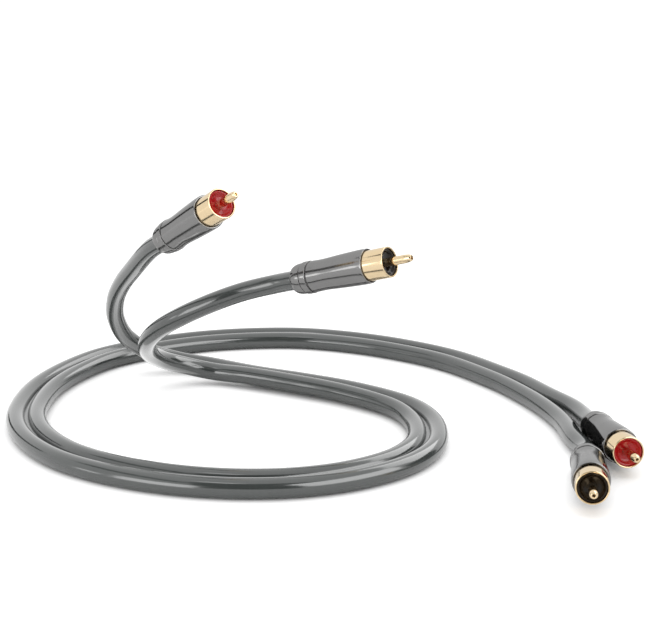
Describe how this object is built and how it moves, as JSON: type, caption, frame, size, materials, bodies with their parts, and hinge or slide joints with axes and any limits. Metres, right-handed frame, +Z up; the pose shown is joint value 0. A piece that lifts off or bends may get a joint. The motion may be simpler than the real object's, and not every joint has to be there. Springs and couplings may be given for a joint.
{
  "type": "rca audio cable",
  "caption": "Stereo audio lead of two bonded round legs in a loose loop, with gold-plated phono plugs in grey barrel shells on every end.",
  "frame": {"origin": "on the surface that the lead lies on, under the middle of the four plugs", "axes": "+X from the raised plugs towards the two that lie down, +Y away from the viewer of the picture, +Z up"},
  "size_m": [0.2105, 0.1932, 0.0872],
  "materials": {
    "jacket": "glossy grey flexible PVC",
    "shell": "glossy grey lacquer on a turned barrel",
    "gold": "polished pale gold plate",
    "red_plastic": "moulded red insulator",
    "black_plastic": "moulded black insulator",
    "clamp": "plain crimped metal",
    "dielectric": "off-white foamed insulation",
    "copper": "bare copper"
  },
  "bodies": {
    "root": {"twin_cable": "jacket", "raised_red_rear_cap": "shell", "raised_red_shell": "shell", "raised_red_ground_collar": "gold", "raised_red_insulator": "red_plastic", "raised_red_center_pin": "gold", "raised_red_cable_clamp": "clamp", "raised_red_dielectric_end": "dielectric", "raised_red_conductor_end": "copper", "raised_black_rear_cap": "shell", "raised_black_shell": "shell", "raised_black_ground_collar": "gold", "raised_black_insulator": "black_plastic", "raised_black_center_pin": "gold", "raised_black_cable_clamp": "clamp", "raised_black_dielectric_end": "dielectric", "raised_black_conductor_end": "copper", "floor_red_rear_cap": "shell", "floor_red_shell": "shell", "floor_red_ground_collar": "gold", "floor_red_insulator": "red_plastic", "floor_red_center_pin": "gold", "floor_red_cable_clamp": "clamp", "floor_red_dielectric_end": "dielectric", "floor_red_conductor_end": "copper", "floor_black_rear_cap": "shell", "floor_black_shell": "shell", "floor_black_ground_collar": "gold", "floor_black_insulator": "black_plastic", "floor_black_center_pin": "gold", "floor_black_cable_clamp": "clamp", "floor_black_dielectric_end": "dielectric", "floor_black_conductor_end": "copper"}
  },
  "joints": []
}
